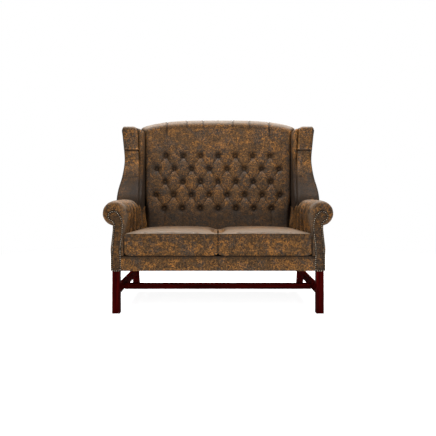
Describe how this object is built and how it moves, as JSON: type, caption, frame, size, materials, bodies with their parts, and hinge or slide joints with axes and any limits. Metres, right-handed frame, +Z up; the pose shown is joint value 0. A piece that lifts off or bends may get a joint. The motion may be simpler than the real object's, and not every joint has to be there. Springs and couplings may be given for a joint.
{
  "type": "high back settee",
  "caption": "High back settee in distressed leather, with wings, a deep-buttoned back, rolled arms edged with nails, loose seat cushions and square mahogany legs with stretchers.",
  "frame": {"origin": "on the floor, in the middle of the settee's outline from above", "axes": "+X to the right as seen from the front, +Y to the rear, +Z up"},
  "size_m": [1.3298, 0.8195, 1.198],
  "materials": {
    "leather": "waxed, distressed",
    "mahogany": "gloss lacquer",
    "frame_timber": "sawn",
    "nail_bronze": "antiqued",
    "spring_steel": "plain",
    "foam": "open",
    "cloth": "woven",
    "webbing": "woven"
  },
  "bodies": {
    "frame": {"arm_buttons_left": "leather", "arm_buttons_right": "leather", "arm_frame_left": "frame_timber", "arm_frame_right": "frame_timber", "arm_front_panel_left": "leather", "arm_front_panel_right": "leather", "arm_nail_trim_left": "nail_bronze", "arm_nail_trim_right": "nail_bronze", "arm_pad_left": "leather", "arm_pad_right": "leather", "back_buttons_row_1": "leather", "back_buttons_row_2": "leather", "back_buttons_row_3": "leather", "back_buttons_row_4": "leather", "back_buttons_row_5": "leather", "back_pad": "leather", "back_post_left": "frame_timber", "back_post_right": "frame_timber", "back_strap_left": "webbing", "back_strap_middle": "webbing", "back_strap_right": "webbing", "corner_block_front_left": "frame_timber", "corner_block_front_right": "frame_timber", "corner_block_rear_left": "frame_timber", "corner_block_rear_right": "frame_timber", "crest_rail": "frame_timber", "cross_stretcher": "mahogany", "dust_cover": "cloth", "front_leg_left": "mahogany", "front_leg_right": "mahogany", "front_rail_cover": "leather", "front_seat_rail": "frame_timber", "lower_back_rail": "frame_timber", "outside_arm_panel_left": "leather", "outside_arm_panel_right": "leather", "outside_back_panel": "leather", "outside_wing_panel_left": "leather", "outside_wing_panel_right": "leather", "rear_leg_left": "mahogany", "rear_leg_right": "mahogany", "rear_seat_rail": "frame_timber", "seat_deck": "cloth", "seat_spring_1": "spring_steel", "seat_spring_2": "spring_steel", "seat_spring_3": "spring_steel", "seat_spring_4": "spring_steel", "seat_spring_5": "spring_steel", "side_seat_rail_left": "frame_timber", "side_seat_rail_right": "frame_timber", "side_stretcher_left": "mahogany", "side_stretcher_right": "mahogany", "wing_frame_left": "frame_timber", "wing_frame_right": "frame_timber", "wing_pad_left": "leather", "wing_pad_right": "leather"},
    "cushion_left": {"seat_cushion_left": "leather", "cushion_foam_left": "foam"},
    "cushion_right": {"seat_cushion_right": "leather", "cushion_foam_right": "foam"}
  },
  "joints": [
    {"name": "cushion_left_slide", "type": "slide", "parent": "frame", "child": "cushion_left", "axis": [0, -0.9781, 0.2079], "range_m": [0, 0.45]},
    {"name": "cushion_right_slide", "type": "slide", "parent": "frame", "child": "cushion_right", "axis": [0, -0.9781, 0.2079], "range_m": [0, 0.45]}
  ]
}
